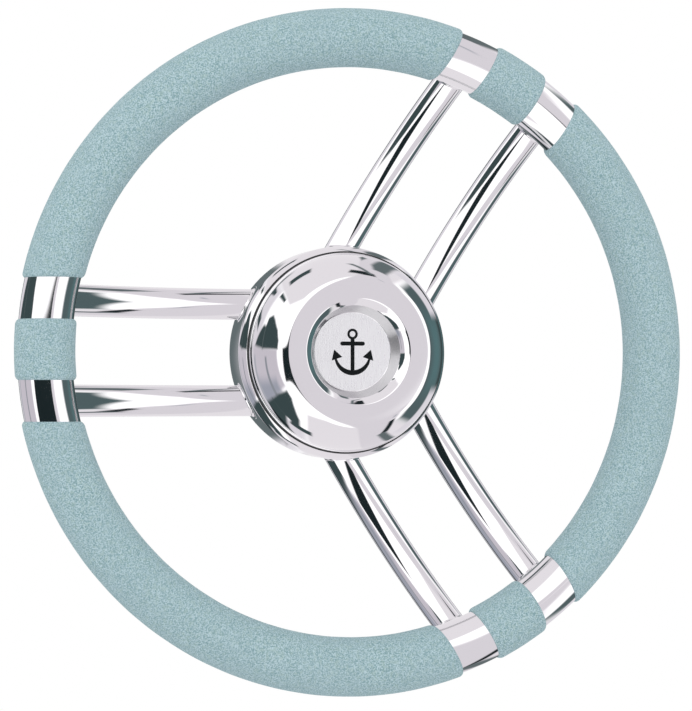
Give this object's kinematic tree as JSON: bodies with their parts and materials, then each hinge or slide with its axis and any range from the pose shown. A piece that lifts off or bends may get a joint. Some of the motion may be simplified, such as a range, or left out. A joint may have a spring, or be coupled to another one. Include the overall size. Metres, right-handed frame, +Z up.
{
  "type": "boat steering wheel",
  "caption": "Dished boat steering wheel: soft covered ring, three pairs of bent twin tube spokes, turned hub with domed cap, taper bore for the helm shaft.",
  "frame": {"origin": "middle of the taper bore's wide mouth, on the rear face of the boss", "axes": "+Y along the wheel's axis, out of the bore's mouth and away from the driver; +Z up; -X towards the pair of spokes that points left as the driver sees it"},
  "size_m": [0.35, 0.085, 0.35],
  "materials": {
    "polished_tube": "polished",
    "polished_hub": "polished",
    "turned_steel": "satin",
    "soft_grip": "matte",
    "black_rubber": "matte",
    "satin_badge": "satin",
    "black_enamel": "gloss"
  },
  "bodies": {
    "root": {"rim_tube": "polished_tube", "spoke_right_upper_a": "polished_tube", "spoke_right_upper_b": "polished_tube", "spoke_left_a": "polished_tube", "spoke_left_b": "polished_tube", "spoke_right_lower_a": "polished_tube", "spoke_right_lower_b": "polished_tube", "short_grip_right_upper": "soft_grip", "short_grip_left": "soft_grip", "short_grip_right_lower": "soft_grip", "long_grip_upper": "soft_grip", "long_grip_lower": "soft_grip", "long_grip_right": "soft_grip", "hub_drum": "polished_hub", "hub_back_plate": "turned_steel", "hub_boss": "turned_steel", "cap_seal": "black_rubber", "hub_cap": "polished_hub", "badge_disc": "satin_badge", "badge_inlay": "black_enamel"}
  },
  "joints": []
}
